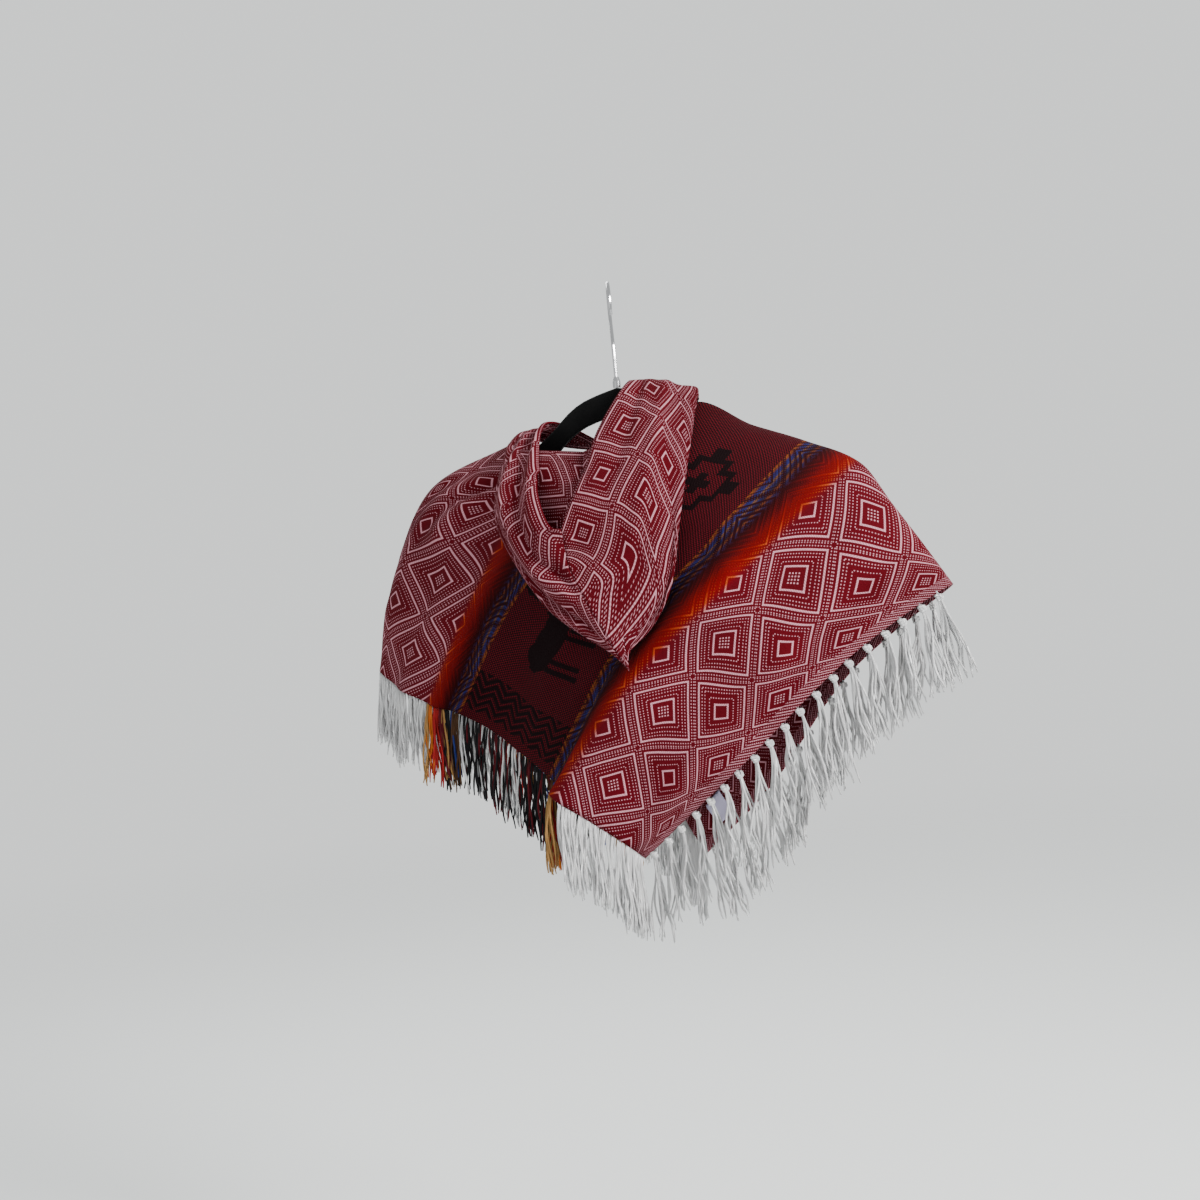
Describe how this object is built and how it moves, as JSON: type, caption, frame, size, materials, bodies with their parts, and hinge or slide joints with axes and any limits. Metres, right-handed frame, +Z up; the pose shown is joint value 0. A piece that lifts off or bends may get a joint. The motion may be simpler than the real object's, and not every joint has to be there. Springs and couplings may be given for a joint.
{
  "type": "andean poncho",
  "caption": "Hooded woven wool poncho with fringed hem and knotted side edge, hung on a flocked clothes hanger.",
  "frame": {"origin": "inside top of the hanger's hook, where a rail carries it", "axes": "+Z up, +X along the hanger's arms, -Y towards the side on which the hood hangs"},
  "size_m": [0.594, 0.2299, 0.6375],
  "materials": {
    "woven_crimson": "matte hand-woven wool",
    "yarn_white": "loose plied wool",
    "yarn_rainbow": "loose plied wool",
    "yarn_black": "loose plied wool",
    "label_cloth": "smooth woven patch",
    "hanger_flock": "black flocked",
    "hanger_chrome": "bright plated wire"
  },
  "bodies": {
    "root": {"body": "woven_crimson", "hood_right": "woven_crimson", "hood_left": "woven_crimson", "fringe_near_white": "yarn_white", "fringe_far_white": "yarn_white", "fringe_near_rainbow": "yarn_rainbow", "fringe_far_rainbow": "yarn_rainbow", "fringe_near_dark": "yarn_black", "fringe_far_dark": "yarn_black", "fringe_near_left_rainbow": "yarn_rainbow", "fringe_far_left_rainbow": "yarn_rainbow", "fringe_near_left_white": "yarn_white", "fringe_far_left_white": "yarn_white", "tassels_near": "yarn_white", "tassels_far": "yarn_white", "label": "label_cloth", "hanger_arms": "hanger_flock", "hanger_collar": "hanger_chrome", "hanger_hook": "hanger_chrome"}
  },
  "joints": []
}
